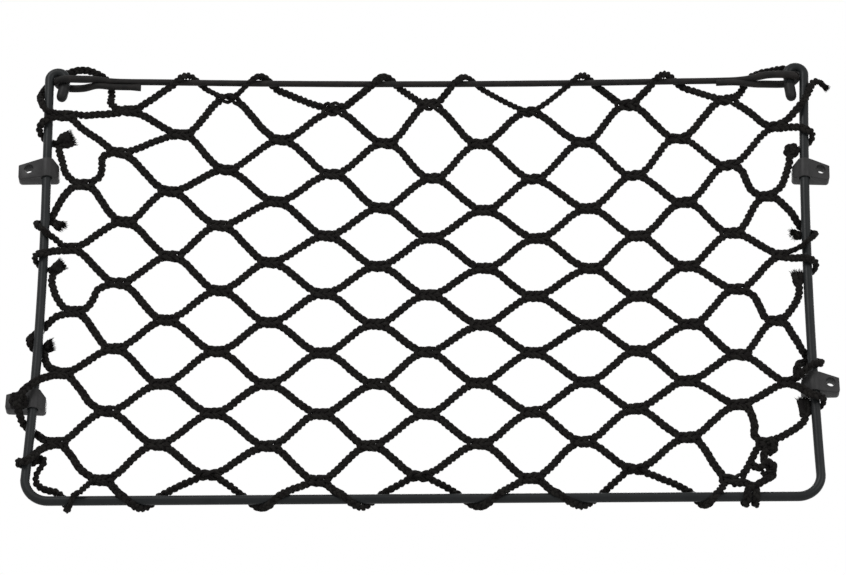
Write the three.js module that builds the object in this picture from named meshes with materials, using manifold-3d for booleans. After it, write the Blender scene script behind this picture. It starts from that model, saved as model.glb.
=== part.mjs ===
// Car door pocket net: knotless cord netting laced to a bent, coated wire frame, with an elastic cord
// along its open top edge and four screw clips that hold the frame on a door panel.
// Millimetres, +X to the right, +Z up, and the open front faces -Y. The door panel is the plane y = 0.

import * as THREE from "three";
import { mergeVertices } from "three/addons/utils/BufferGeometryUtils.js";
import Module from "manifold-3d";

const wasm = await Module();
wasm.setup();

// Driving dimensions
const PLANE = -6.3;          // y of the wire's axis and of the net
const SPARE = 0.3;           // gap kept between neighbouring pieces
const LAP_STEP = 45;         // degrees between the stations of a rope's turn round a wire
const LEFT = -1;
const RIGHT = 1;

const FRAME = {
  bottom: -105.4,            // axis of the bottom wire
  radius: 2,                 // wire with its coating
  corner: 10,                // bend radius of the bottom corners, on the axis
  hook: 3.7,                 // bend radius of the hooks, on the axis
  bowTop: 97,                // height where the side wires meet their hooks
  tip: 2.35,                 // radius of the rounded plastic tip on each peg
};
// The side wires bow inwards to a waist. Distances are from the middle of the part to the wire's axis.
// splay is how far a peg leans back to its side wire, and crown the height of the axis over the hook.
const SIDES = [
  { side: LEFT, waist: 165.4, waistZ: 25, topX: 165.8, bottomX: 170.4, crown: 100.7,
    pegEnd: 88.7, splay: 1.7 },
  { side: RIGHT, waist: 165.6, waistZ: -15, topX: 168.5, bottomX: 167.2, crown: 101.2,
    pegEnd: 86.9, splay: 1.3 },
];

const ELASTIC = {
  radius: 1.35,
  middle: 93.9,              // height at the middle of the run
  rise: 1.75,                // how much higher it is at the reach
  lean: -0.65,               // how much its right end hangs below the mean of both ends
  reach: 138,                // x where it leaves the net plane for its loop
  loop: 95.5,                // height of the loop round a peg
  // the cut ends, and how far each tail lies below and behind the run
  leftTail: { x: 125.2, below: 3, behind: 0 },
  rightTail: { x: 129.3, below: 2.5, behind: -1.8 },
};

const ROPE = {
  radius: 1.55,
  sides: 4,
  corner: 1.9,               // from the axis to a corner of the four-sided section of the same area
  bar: 3,                    // half the length over which two ropes lie fused
  apart: 0.9,                // each rope's axis above or below the middle of its bar
};

const CLIP = {
  inboard: 5.3,              // from the wire's axis to the inner edge
  below: 4.4,                // from the clip's middle to its lower edge
  peak: 4.6,                 // and to the crown over the wire
  shoulder: 2.7,             // height of the outer upper corner
  innerShoulder: 1.6,
  crown: 2.6,                // how far the flat crown reaches to either side of the wire's axis
  corner: 1.6,               // radius of the lower corners
  outerDepth: 5.4,           // thickness at the outer edge
  innerDepth: 6,
  rampDepth: 8.15,           // thickness where the body meets the saddle
  saddle: 2.95,              // outer radius of the saddle over the wire
  bore: 2.3,                 // radius of the bore round the wire
  hole: 2,                   // radius of the screw hole
  holeUp: 0.3,
};
const CLIPS = [
  { name: "clip_upper_left", side: LEFT, z: 52.5, outboard: 12.6, holeOut: 8 },
  { name: "clip_upper_right", side: RIGHT, z: 50.1, outboard: 11.1, holeOut: 7.2 },
  { name: "clip_lower_left", side: LEFT, z: -58.7, outboard: 12, holeOut: 8 },
  { name: "clip_lower_right", side: RIGHT, z: -52.8, outboard: 11.1, holeOut: 7.2 },
];

// The rows of knots, from the top down. Knots are a pitch apart, and their heights follow a shallow curve
// with its own middle, rise and bow. Where the hand lacing pulls knots out of that order, pulls says by
// how much sideways at each knot, and lifts by how much upwards.
const ROWS = [
  { first: -129.3, pitch: 43.8, middle: 82, rise: 0, bow: 0.2,
    pulls: [-1, -1, 2, 0.5, 0.5, 0, 0], lifts: [-2.5, 4.5, -1.5, 1, -2.5, 0, 1] },
  { first: -106.3, pitch: 43.8, middle: 64, rise: -0.7, bow: 0.6, pulls: [-0.5, -0.5, 1.5, -0.5, 1, -1] },
  { first: -131.7, pitch: 44.6, middle: 46.3, rise: -1.3, bow: 1.1, pulls: [-2.5, 0, 2, 1.5, 1, 0.5, -2.5],
    lifts: [0.5, -1.5, 0.5, 0.5, 0, -0.5, 0] },
  { first: -110.2, pitch: 45.1, middle: 31.5, rise: -1.4, bow: 1, pulls: [-1, 0, 1, 1, 1, -2] },
  { first: -132, pitch: 44.7, middle: 17.7, rise: -1.3, bow: 0.6, pulls: [1, -2, 0, 0.5, 2, 1, -2.5],
    lifts: [-0.5, 1.5, -0.5, 0, 0, 0.5, 0] },
  { first: -110.7, pitch: 45.1, middle: 3.3, rise: -1.3, bow: 0.5, pulls: [0.5, -1.5, 0, 1, 2, -1.5] },
  { first: -133.3, pitch: 44.9, middle: -10.4, rise: -0.9, bow: 0.5, pulls: [0.5, -0.5, -0.5, 0, 1, 1, -1.5],
    lifts: [0, -0.5, 0, 0.5, 0, -1, 0.5] },
  { first: -112.3, pitch: 45.4, middle: -24.1, rise: -0.7, bow: 0.2, pulls: [0.5, -0.5, 0, 0.5, 1, -0.5] },
  { first: -134.1, pitch: 44.9, middle: -37.2, rise: -0.5, bow: 0, pulls: [0.5, -0.5, 0, 0, 0.5, 0.5, -1],
    lifts: [1, 0, -0.5, 0, 0, 1, -0.5] },
  { first: -112.3, pitch: 45, middle: -52, rise: 0, bow: 0.1, pulls: [-0.5, -0.5, 1, 0, 1, -1] },
  { first: -135.4, pitch: 45, middle: -66.1, rise: 0.2, bow: 0.3,
    pulls: [-0.5, -0.5, 0.5, 0.5, 1, -0.5, -1] },
  { first: -113.3, pitch: 45, middle: -80.7, rise: 0.4, bow: 0.3, pulls: [-1, 1, -0.5, 1, 0, -0.5] },
  { first: -136.3, pitch: 44.7, middle: -94.9, rise: 0, bow: 0, pulls: [-1, -0.5, 1, -0.5, 2, 1, -2.5],
    lifts: [-1, 1, -2, 0, -1.5, 2.5, -2.5] },
];

// The knots at the two edges of every second row. up and down are the places a rope passes on its way
// from there to the first knot of the row above or below, where it doesn't run straight.
const EDGES = [
  { row: 1, side: LEFT, x: -158.8, z: 78, inFront: 2.2,
    up: [[-149, 79.3], [-143.5, 79.8], [-137, 80.1]],
    down: [[-150.6, 72.4], [-147.2, 69.9], [-143.4, 67.4], [-140, 64.4]] },
  { row: 3, side: LEFT, x: -149.8, z: 44.9, up: [[-144.5, 47], [-142, 49], [-141.3, 54.5], [-141.2, 58.4]] },
  { row: 5, side: LEFT, x: -154.5, z: 13.6 },
  { row: 7, side: LEFT, x: -151.9, z: -16.8, up: [[-146, -15], [-143.1, -10.4], [-141.6, -6.6]] },
  { row: 9, side: LEFT, x: -155.9, z: -46.1, down: [[-151.6, -48.9], [-147.6, -54], [-143.2, -60]] },
  { row: 11, side: LEFT, x: -157.3, z: -78.6, down: [[-153.4, -81], [-149.9, -85.8], [-146.2, -91.2]] },
  { row: 1, side: RIGHT, x: 155.8, z: 71.5, up: [[149.7, 73], [147, 75.6], [144, 78.5], [141, 81]] },
  { row: 3, side: RIGHT, x: 150.2, z: 37, up: [[144, 39.2], [141.1, 44], [139.3, 49.4]] },
  { row: 5, side: RIGHT, x: 155.7, z: 8.2 },
  { row: 7, side: RIGHT, x: 151.8, z: -23.2, up: [[146.4, -21.6], [144.3, -16.5], [141.4, -10.9]] },
  { row: 9, side: RIGHT, x: 155.7, z: -52.3 },
  { row: 11, side: RIGHT, x: 145.4, z: -80.6, up: [[139.4, -77.2], [139.9, -72.5], [138, -65.6]],
    down: [[140.2, -84], [137.7, -88.8], [134.6, -94]] },
];

// Where the top rope loops over the elastic, and where the bottom rope crosses the bottom wire.
const TOP_LOOPS = [-103.2, -71.2, -16.2, 19.7, 71.5, 108.3];
const BOTTOM_LAPS = [
  { front: -130, back: -113.5 },
  { front: -59, back: -77 },
  { front: -38, back: -20 },
  { front: 33, back: 14 },
  { front: 53, back: 74 },
  { front: 124, back: 112.5 },
];

const MATERIALS = {
  wire: { color: 0x303436, roughness: 0.5, metalness: 0.2 },
  plastic: { color: 0x363638, roughness: 0.55, metalness: 0 },
  rope: { color: 0x171615, roughness: 0.9, metalness: 0 },
  elastic: { color: 0x1c1b1b, roughness: 0.7, metalness: 0 },
};

// A route through fixed stations, so that a sweep has its sections exactly there.
class Route extends THREE.Curve {
  constructor(stations) {
    super();
    this.stations = stations;
  }

  getPointAt(u, target = new THREE.Vector3()) {
    return target.copy(this.stations[Math.round(u * (this.stations.length - 1))]);
  }

  getTangentAt(u, target = new THREE.Vector3()) {
    const last = this.stations.length - 1;
    const i = Math.round(u * last);
    const before = this.stations[Math.max(i - 1, 0)];
    const after = this.stations[Math.min(i + 1, last)];
    return target.subVectors(after, before).normalize();
  }
}

function point(x, y, z) {
  return new THREE.Vector3(x, y, z);
}

// A point of the net, in its plane or the given distance in front of it.
function at(x, z, inFront = 0) {
  return point(x, PLANE - inFront, z);
}

// A closed tube of a regular section with the given number of sides.
function tube(stations, radius, sides) {
  const section = new THREE.Shape();
  for (let i = 0; i < sides; i += 1) {
    const angle = ((i + 0.5) / sides) * Math.PI * 2;
    const x = radius * Math.cos(angle);
    const y = radius * Math.sin(angle);
    if (i === 0) section.moveTo(x, y);
    else section.lineTo(x, y);
  }
  section.closePath();
  return new THREE.ExtrudeGeometry(section, {
    steps: stations.length - 1,
    bevelEnabled: false,
    extrudePath: new Route(stations),
  });
}

// Smooth stations through a few guiding points, with the same number of steps in each stretch.
function smooth(points, steps) {
  const curve = new THREE.CatmullRomCurve3(points, false, "centripetal");
  return curve.getPoints((points.length - 1) * steps);
}

function toSolid(geometry) {
  const bare = geometry.clone();
  bare.deleteAttribute("normal");
  bare.deleteAttribute("uv");
  const merged = mergeVertices(bare, 1e-4);
  return new wasm.Manifold(new wasm.Mesh({
    numProp: 3,
    vertProperties: new Float32Array(merged.attributes.position.array),
    triVerts: new Uint32Array(merged.index.array),
  }));
}

function toGeometry(solid) {
  const mesh = solid.getMesh();
  const geometry = new THREE.BufferGeometry();
  geometry.setAttribute("position", new THREE.BufferAttribute(new Float32Array(mesh.vertProperties), 3));
  geometry.setIndex(new THREE.BufferAttribute(new Uint32Array(mesh.triVerts), 1));
  geometry.computeVertexNormals();
  return geometry;
}

function joined(geometries) {
  return toGeometry(geometries.map(toSolid).reduce((whole, next) => whole.add(next)));
}

function radians(degrees) {
  return THREE.MathUtils.degToRad(degrees);
}

// Stations of a bend in the net plane round a centre, from one angle in degrees to another.
function bend(centreX, centreZ, radius, from, to, steps) {
  const stations = [];
  for (let i = 0; i <= steps; i += 1) {
    const angle = radians(from + ((to - from) * i) / steps);
    stations.push(point(centreX + radius * Math.cos(angle), PLANE, centreZ + radius * Math.sin(angle)));
  }
  return stations;
}

function sideFacts(side) {
  return SIDES.find((facts) => facts.side === side);
}

// x of a side wire's axis at a height.
function wireX(side, z) {
  const { waist, waistZ, topX, bottomX } = sideFacts(side);
  const above = z > waistZ;
  const end = above ? topX : bottomX;
  const reach = above ? FRAME.bowTop - waistZ : FRAME.bottom - waistZ;
  return side * (waist + (end - waist) * ((z - waistZ) / reach) ** 2);
}

// The angle by which a side wire leans out of the upright at a height, positive towards +X at its top.
function wireLean(side, z) {
  return Math.atan2(wireX(side, z + 0.5) - wireX(side, z - 0.5), 1);
}

function hookCentre(side) {
  const { topX, crown } = sideFacts(side);
  return { x: side * (topX - FRAME.hook), z: crown - FRAME.hook };
}

// The foot of a peg and the angle by which the peg leans.
function peg(side) {
  const { splay, pegEnd } = sideFacts(side);
  const centre = hookCentre(side);
  const foot = point(centre.x - side * (FRAME.hook - splay), PLANE, pegEnd);
  return { foot, lean: -side * Math.atan2(splay, centre.z - pegEnd) };
}

// A side wire between its hook and its bottom corner, from the top down, with the bend of the corner.
function sideWire(side) {
  const { corner, bottom } = FRAME;
  const steps = 12;
  const cornerSteps = 6;
  const cornerZ = bottom + corner;
  const lean = wireLean(side, cornerZ) * -side;
  const endZ = cornerZ - corner * Math.sin(lean);
  const stations = [];
  for (let i = 1; i < steps; i += 1) {
    const z = THREE.MathUtils.lerp(hookCentre(side).z, endZ, i / steps);
    stations.push(point(wireX(side, z), PLANE, z));
  }
  const centreX = wireX(side, endZ) - side * corner * Math.cos(lean);
  const outwards = side === LEFT ? 180 : 360;
  const from = outwards - side * THREE.MathUtils.radToDeg(lean);
  return [...stations, ...bend(centreX, cornerZ, corner, from, 270, cornerSteps)];
}

// The frame: one wire from the left peg over its hook, down, across the bottom and up to the right.
function frameWire() {
  const { hook, radius, tip } = FRAME;
  const hookSteps = 6;
  const [leftHook, rightHook] = [LEFT, RIGHT].map(hookCentre);
  const stations = [
    peg(LEFT).foot,
    ...bend(leftHook.x, leftHook.z, hook, 0, 180, hookSteps),
    ...sideWire(LEFT),
    ...sideWire(RIGHT).reverse(),
    ...bend(rightHook.x, rightHook.z, hook, 0, 180, hookSteps),
    peg(RIGHT).foot,
  ];
  const tipProfile = [[0, -tip], [1.7, -1.65], [tip, -0.4], [tip, 2.2], [1.9, 3], [0, 3]];
  const tips = [LEFT, RIGHT].map((side) => {
    const { foot, lean } = peg(side);
    const profile = tipProfile.map(([r, h]) => new THREE.Vector2(r, h));
    const cap = new THREE.LatheGeometry(profile, 12);
    cap.rotateX(Math.PI / 2);
    cap.rotateY(lean);
    cap.translate(foot.x, foot.y, foot.z);
    return cap;
  });
  return joined([tube(stations, radius, 12), ...tips]);
}

function elasticHeight(x) {
  const part = x / ELASTIC.reach;
  return ELASTIC.middle + ELASTIC.rise * part ** 2 + ELASTIC.lean * part;
}

// One end of the elastic, from the net plane past the front of its peg, round it and back to its tail.
function elasticLoop(side, { x, below, behind }) {
  const { loop, radius } = ELASTIC;
  const { foot, lean } = peg(side);
  const pegX = side * (foot.x + (loop - foot.z) * Math.tan(lean));
  const round = FRAME.radius + radius + SPARE + 0.1;
  const between = (pegX + Math.abs(wireX(side, loop))) / 2;
  const tailHeight = (at) => elasticHeight(side * at) - below;
  return [
    point(side * 145, PLANE - 1.4, elasticHeight(side * 145)),
    point(side * 152, PLANE - 2.9, loop + 0.4),
    point(side * (pegX - 1.5), PLANE - round, loop + 0.1),
    point(side * (pegX + round * 0.6), PLANE - round * 0.8, loop),
    point(side * between, PLANE, loop),
    point(side * (pegX + round * 0.6), PLANE + round * 0.8, loop - 0.1),
    point(side * (pegX - 1.5), PLANE + round, loop - 0.6),
    point(side * 151, PLANE + round * 0.7, loop - 1.9),
    point(side * 145, PLANE + behind * 0.2, elasticHeight(side * 145) - 3.1),
    point(side * 138, PLANE + behind, tailHeight(138)),
    point(side * x, PLANE + behind, tailHeight(x)),
  ];
}

function elasticCord() {
  const run = [];
  for (let x = -ELASTIC.reach; x <= ELASTIC.reach; x += ELASTIC.reach / 5) {
    run.push(point(x, PLANE, elasticHeight(x)));
  }
  const left = elasticLoop(LEFT, ELASTIC.leftTail).reverse();
  const route = [...left, ...run, ...elasticLoop(RIGHT, ELASTIC.rightTail)];
  return toGeometry(toSolid(tube(smooth(route, 2), ELASTIC.radius, 8)));
}

// A clip on its side wire: a body with a peaked top and a screw tab, a saddle over the wire and a bore
// for it. Its outline is drawn in x and z with the tab towards +X.
function clipOutline(outboard) {
  const { inboard, below, peak, shoulder, innerShoulder, crown, corner } = CLIP;
  const outline = new THREE.Shape();
  outline.moveTo(-inboard + corner, -below);
  outline.lineTo(outboard - corner, -below);
  outline.absarc(outboard - corner, -below + corner, corner, -Math.PI / 2, 0, false);
  outline.lineTo(outboard, shoulder);
  outline.lineTo(crown, peak);
  outline.lineTo(-crown, peak);
  outline.lineTo(-inboard, innerShoulder);
  outline.lineTo(-inboard, -below + corner);
  outline.absarc(-inboard + corner, -below + corner, corner, Math.PI, Math.PI * 1.5, false);
  return outline;
}

// The clip across the wire, drawn in x and y: thickest at the saddle, with a ramp down to either edge.
function clipSection(outboard) {
  const { inboard, outerDepth, innerDepth, rampDepth, saddle, bore } = CLIP;
  const meet = Math.asin((rampDepth + PLANE) / saddle);
  const section = new THREE.Shape();
  section.moveTo(-inboard, 0);
  section.lineTo(-inboard, -innerDepth);
  section.absarc(0, PLANE, saddle, Math.PI + meet, 2 * Math.PI - meet, false);
  section.lineTo(outboard, -outerDepth);
  section.lineTo(outboard, 0);
  section.closePath();
  const hole = new THREE.Path();
  hole.absarc(0, PLANE, bore, 0, Math.PI * 2, true);
  section.holes.push(hole);
  return section;
}

function clip({ side, z, outboard, holeOut }) {
  const height = 2 * CLIP.peak + 2;
  const body = new THREE.ExtrudeGeometry(clipSection(outboard), {
    depth: height, bevelEnabled: false, curveSegments: 8,
  });
  body.translate(0, 0, -height / 2);
  const depth = 12;
  const plan = new THREE.ExtrudeGeometry(clipOutline(outboard), {
    depth, bevelEnabled: false, curveSegments: 4,
  });
  plan.rotateX(Math.PI / 2);
  plan.translate(0, 1, 0);
  const drill = new THREE.CylinderGeometry(CLIP.hole, CLIP.hole, depth, 20);
  drill.translate(holeOut, -depth / 2 + 1, CLIP.holeUp);
  const drawn = toSolid(body).intersect(toSolid(plan)).subtract(toSolid(drill));
  const sided = side === LEFT ? drawn.mirror([1, 0, 0]) : drawn;
  const geometry = toGeometry(sided);
  geometry.rotateY(wireLean(side, z));
  return geometry;
}

// Netting
function knot(row, column) {
  const edge = edgeKnot(row, column);
  if (edge) return { x: edge.x, z: edge.z, inFront: edge.inFront ?? 0, tilt: 0 };
  const { first, pitch, middle, rise, bow, pulls, lifts } = ROWS[row];
  const step = column - 1 - (pulls.length - 1) / 2;
  const z = middle + rise * step + bow * step * step + (lifts ? lifts[column - 1] : 0);
  const x = first + pitch * (column - 1) + pulls[column - 1];
  return { x, z, inFront: 0, tilt: (rise + 2 * bow * step) / pitch };
}

// The knot at column 0 or 7 of a row that has one there.
function edgeKnot(row, column) {
  const side = column === 0 ? LEFT : RIGHT;
  return column % 7 === 0 ? EDGES.find((edge) => edge.row === row && edge.side === side) : undefined;
}

// The two stations where a rope lies fused in a knot: above is 1 for the upper rope and -1 for the lower.
function barStations(row, column, above) {
  const { x, z, inFront, tilt } = knot(row, column);
  return [-ROPE.bar, ROPE.bar].map((shift) => at(x + shift, z + above * ROPE.apart + tilt * shift, inFront));
}

// A rope between two rows of knots zigzags from edge to edge.
function innerRope(upperRow) {
  const lowerRow = upperRow + 1;
  const edgeRow = edgeKnot(upperRow, 0) ? upperRow : lowerRow;
  const plainRow = edgeRow === upperRow ? lowerRow : upperRow;
  const way = edgeRow === upperRow ? "down" : "up";
  const passed = (column) => (edgeKnot(edgeRow, column)[way] ?? []).map(([x, z]) => at(x, z));
  const stations = [];
  for (let column = 0; column <= 7; column += 1) {
    if (column > 0) stations.push(...barStations(plainRow, column, plainRow === lowerRow ? 1 : -1));
    if (column === 7) stations.push(...passed(7).reverse());
    stations.push(...barStations(edgeRow, column, edgeRow === lowerRow ? 1 : -1));
    if (column === 0) stations.push(...passed(0));
  }
  return stations;
}

// Part of a turn round a wire or the elastic. Angle 0 is in front, and 180 behind. centre(t) gives the
// axis there and out is the direction of angle 90.
function lap(centre, out, radius, from, to) {
  const steps = Math.ceil(Math.abs(to - from) / LAP_STEP);
  const stations = [];
  for (let i = 0; i <= steps; i += 1) {
    const angle = radians(from + ((to - from) * i) / steps);
    const station = centre(i / steps).addScaledVector(out, radius * Math.sin(angle));
    station.y -= radius * Math.cos(angle);
    stations.push(station);
  }
  return stations;
}

const TAUT = Math.cos(radians(LAP_STEP / 2));   // a lap's chords run nearer the axis by this factor
const WIRE_LAP = (FRAME.radius + ROPE.radius + 1.5 * SPARE) / TAUT;
const ELASTIC_LAP = (ELASTIC.radius + ROPE.radius + 1.5 * SPARE) / TAUT;
const DOWN = point(0, 0, -1);
const UP = point(0, 0, 1);

// A rope's turn round a side wire, from (angle, height) to (angle, height).
function sideLap(side, ...marks) {
  const stations = [];
  for (let i = 1; i < marks.length; i += 1) {
    const [from, zFrom] = marks[i - 1];
    const [to, zTo] = marks[i];
    const centre = (t) => {
      const z = THREE.MathUtils.lerp(zFrom, zTo, t);
      return point(wireX(side, z), PLANE, z);
    };
    const turn = lap(centre, point(side, 0, 0), WIRE_LAP, from, to);
    stations.push(...(i > 1 ? turn.slice(1) : turn));
  }
  return stations;
}

function bottomLap(xFrom, xTo, from, to) {
  const centre = (t) => point(THREE.MathUtils.lerp(xFrom, xTo, t), PLANE, FRAME.bottom);
  return lap(centre, DOWN, WIRE_LAP, from, to);
}

function topLoop(x) {
  const spread = 6.5;
  const centre = (t) => {
    const along = THREE.MathUtils.lerp(x - spread, x + spread, t);
    return point(along, PLANE, elasticHeight(along));
  };
  return lap(centre, UP, ELASTIC_LAP, -30, 210);
}

function topRope() {
  const stations = barStations(0, 1, 1);
  TOP_LOOPS.forEach((x, i) => {
    stations.push(...topLoop(x), ...barStations(0, i + 2, 1));
  });
  return stations;
}

function bottomRope() {
  const row = ROWS.length - 1;
  const stations = barStations(row, 1, -1);
  BOTTOM_LAPS.forEach(({ front, back }, i) => {
    const frontFirst = front < back;
    const turn = frontFirst ? bottomLap(front, back, -45, 225) : bottomLap(back, front, 225, -45);
    stations.push(...turn, ...barStations(row, i + 2, -1));
  });
  return stations;
}

// The ropes' ends along the side wires, each from a knot of the net to a knot, a lap or a cut end.
function edgeStrands() {
  return [
    // left side, from the hook down
    [at(-130.3, 82), at(-134.5, 82), at(-138.3, 86, -1.5), at(-138.2, 91, -3.9), at(-139, 95.5, -4.3),
      at(-141.5, 99.8, -4.3), at(-145.7, 102.6, -4.2), at(-150.3, 104.2, -4.2), at(-155.5, 103.6, -4.2),
      at(-160.5, 101.6, -4.3), ...sideLap(LEFT, [180, 97.5], [90, 88.2], [15, 80.2]), at(-162.4, 79, 3.6),
      at(-158.8, 78.9, 2.2)],
    [at(-158.8, 77.1, 2.2), at(-161.6, 77.2, 3), ...sideLap(LEFT, [-20, 76.6], [90, 72], [225, 66.6]),
      at(-160.8, 66, -1.2), at(-155, 67.6)],
    [at(-149.8, 45.8), at(-152.8, 46.4), at(-155.5, 48.5), at(-157.5, 51.5), at(-158.9, 56.5),
      at(-160.4, 62, -0.4), at(-160.8, 65.2, -1.2)],
    [at(-149.8, 44), at(-153.2, 43.8), at(-156.3, 41), at(-159.2, 36), at(-161.4, 32.3, -1.6),
      ...sideLap(LEFT, [225, 29.8], [90, 25.6], [0, 20.8], [-25, 19.4]), at(-160.6, 17.6, 1.4),
      at(-157.5, 15.2), at(-154.5, 14.5)],
    [at(-165.5, 30.4, -4.3), at(-162.2, 28, -2.8), at(-158, 24.6)],
    [at(-154.5, 12.7), at(-159, 12.3, 0.6), at(-161.8, 11.2, 2.4),
      ...sideLap(LEFT, [-20, 9.8], [90, 8.9], [225, 4.6]), at(-160.6, 4, -1.2), at(-157, 6, -0.2)],
    [at(-151.9, -15.9), at(-154.9, -15.2), at(-156.8, -13.5), at(-158.6, -10.8), at(-160.3, -7),
      at(-161.4, -2), at(-160.6, 3.4, -1.2)],
    [at(-151.9, -17.7), at(-156, -18), at(-159.2, -19.2, -0.4), at(-161.6, -20.8, -1.8),
      ...sideLap(LEFT, [225, -22.4], [147, -26.2], [95, -30.2], [147, -33], [225, -36.2]),
      at(-163.2, -39, -2.4), at(-161.2, -43, -0.4), at(-155.9, -45.2)],
    [at(-168.4, -32.6, -3.6), at(-165.6, -32.2, -4.2), at(-163, -32.3, -2.8), at(-160.9, -32.4, -1)],
    [at(-155.9, -47), at(-159.4, -47.4, 0.6), at(-163.6, -50, 3.4), at(-167.8, -53.4, 5.2),
      at(-171.8, -57.2, 5.6), at(-173.8, -61, 5.2), at(-173.4, -64.4, 3.8), at(-172.8, -66.6, 1.6),
      at(-172.2, -68, -0.6), at(-170.9, -69.4, -2.9), at(-168.4, -71.2, -4.2), at(-164.9, -73.8, -3.2),
      at(-161.8, -76.8, -0.8), at(-157.3, -77.7)],
    [at(-170.6, -60.6, 4), at(-172.3, -63, 3.2), at(-175.2, -62.2, 2.6), at(-175.8, -58.6, 3.2),
      at(-172.3, -57.6, 3.4)],
    [at(-157.3, -79.5), at(-160.6, -80.4), at(-163.4, -82.4, 1.4),
      ...sideLap(LEFT, [-35, -86.6], [0, -88.6], [90, -87.8], [225, -86]), at(-163.4, -85.2, -1.6),
      at(-161.9, -86.8, -0.8), at(-163.2, -89.4, -0.8),
      at(-165.2, -93.6, -0.6), at(-164.6, -97.6, -0.4), at(-161.2, -99.9, -0.8),
      at(-156.4, -100.6, -2.4), ...bottomLap(-153.4, -148.6, 225, -25), at(-146.4, -103.2, 3.9),
      at(-143.4, -99.2, 1.6), at(-140.4, -95.9, 0.4), at(-137.3, -95.6)],
    // right side, from the hook down
    [at(132.5, 85.8), at(136, 86.4), at(139.2, 88.8, -2.6), at(141.6, 93, -4.3), at(144.8, 98.2, -4.3),
      at(149.6, 100.4, -4.2), at(154.6, 101.6, -4.2), at(160.2, 102.8, -4.3), at(164.6, 102, -4.3),
      at(167.4, 98, -4.3)],
    [at(155.8, 72.4), at(158.9, 73.6, 0.4), at(161.8, 76, 1.8), at(164.3, 78.6, 3.2),
      at(166.4, 80.9, 4.3), at(168, 83.2, 4.4), at(169.9, 87.4, 3.7), at(171.4, 91.2, 2.6),
      at(173.4, 93.4, 1.4), at(175.4, 93.2, 0.6), at(177.8, 90.8, 0.2)],
    [at(155.8, 70.6), at(159.6, 70.6, 0.6), at(162.4, 70, 2),
      ...sideLap(RIGHT, [-30, 69.2], [0, 68.2], [90, 66.6], [225, 61.4]), at(161.6, 59, -1.2)],
    [at(150.2, 37.9), at(153, 39.2), at(156.4, 42.6), at(158.7, 49), at(160.3, 53.6),
      at(161.2, 58, -0.8)],
    [at(150.2, 36.1), at(153.6, 35.8), at(156.8, 32.8), at(160.3, 28.3), at(162, 26, -1.4),
      ...sideLap(RIGHT, [225, 24.2], [147, 20.5], [90, 18.2], [30, 14.8], [-25, 11.6]),
      at(160.6, 10.4, 1.2), at(155.7, 9.1)],
    [at(165.9, 20, -4.3), at(163.4, 19.4, -3), at(160.6, 18.8, -0.8)],
    [at(155.7, 7.3), at(160, 6.6, 0.6), at(162.4, 5.8, 2.2),
      ...sideLap(RIGHT, [-30, 5.2], [0, 4.6], [90, 3.2], [225, -1.4]), at(162, -3.6, -1.4)],
    [at(151.8, -22.3), at(155, -21.6), at(157.8, -18), at(159.9, -14.6), at(161.3, -10.6, -0.4),
      at(161.7, -6.6, -0.8), at(160.6, -0.6, -0.2)],
    [at(151.8, -24.1), at(154.8, -24.8), at(157.4, -29.2), at(160.2, -34.4), at(161.8, -37, -1.6),
      ...sideLap(RIGHT, [225, -38.4], [90, -43.4], [25, -45.2]), at(164.8, -46.6, 5),
      at(162.2, -48.6, 4.4), at(159.2, -50.8, 1.6), at(155.7, -51.4)],
    [at(155.7, -53.2), at(158.4, -54.4, 0.8), at(160.8, -57, 2.8), at(163.4, -59.6, 4.2),
      at(166, -60.9, 4.6), ...sideLap(RIGHT, [40, -61], [90, -61.2], [225, -65]), at(161.9, -67, -1.2)],
    [at(168.9, -41.6, -3), at(165.8, -41.4, -4.3), at(162.4, -42, -3), at(159.8, -44, -1), at(159.2, -48.4)],
    [at(145.4, -79.7), at(149.7, -78.4), at(155, -75.3), at(159.4, -72.4), at(161.4, -69.8, -0.4),
      at(161.6, -66, -1.2), at(161, -60.6, -0.4)],
    // the knotted end at the lower right corner
    [at(145.6, -81.5), at(143.4, -85.6, 0.5), at(143.2, -89.4, 0.8), at(145.4, -92.9, 0.8),
      at(146.4, -95.4, 0.6), at(142.4, -99.4, 3.2), ...bottomLap(135.6, 133.9, -35, 200)],
    [at(129.1, -99.2), at(132.4, -99.4, 0.8), at(135.6, -100.2, 2.2), ...bottomLap(139, 138.6, -35, 200)],
    [at(138, -91), at(141, -92.2, 0.3), at(145.4, -92.4, 0.8)],
    [at(144.6, -80.4, 1.6), at(147.4, -81, 1.8), at(147.6, -84, 1.2), at(145.4, -85.4, 0.6)],
  ];
}

function netting() {
  const ropes = [topRope(), bottomRope()];
  for (let row = 0; row < ROWS.length - 1; row += 1) ropes.push(innerRope(row));
  return joined([...ropes, ...edgeStrands()].map((stations) => tube(stations, ROPE.corner, ROPE.sides)));
}

function piece(name, geometry, material) {
  const mesh = new THREE.Mesh(geometry, new THREE.MeshStandardMaterial(material));
  mesh.name = name;
  return mesh;
}

const group = new THREE.Group();
group.add(piece("frame_wire", frameWire(), MATERIALS.wire));
group.add(piece("top_elastic", elasticCord(), MATERIALS.elastic));
for (const facts of CLIPS) {
  const mesh = piece(facts.name, clip(facts), MATERIALS.plastic);
  mesh.position.set(wireX(facts.side, facts.z), 0, facts.z);
  group.add(mesh);
}
group.add(piece("net", netting(), MATERIALS.rope));

export default group;
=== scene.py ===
import math

import bmesh
import bpy
import numpy as np
from mathutils import Matrix, Vector


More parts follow.
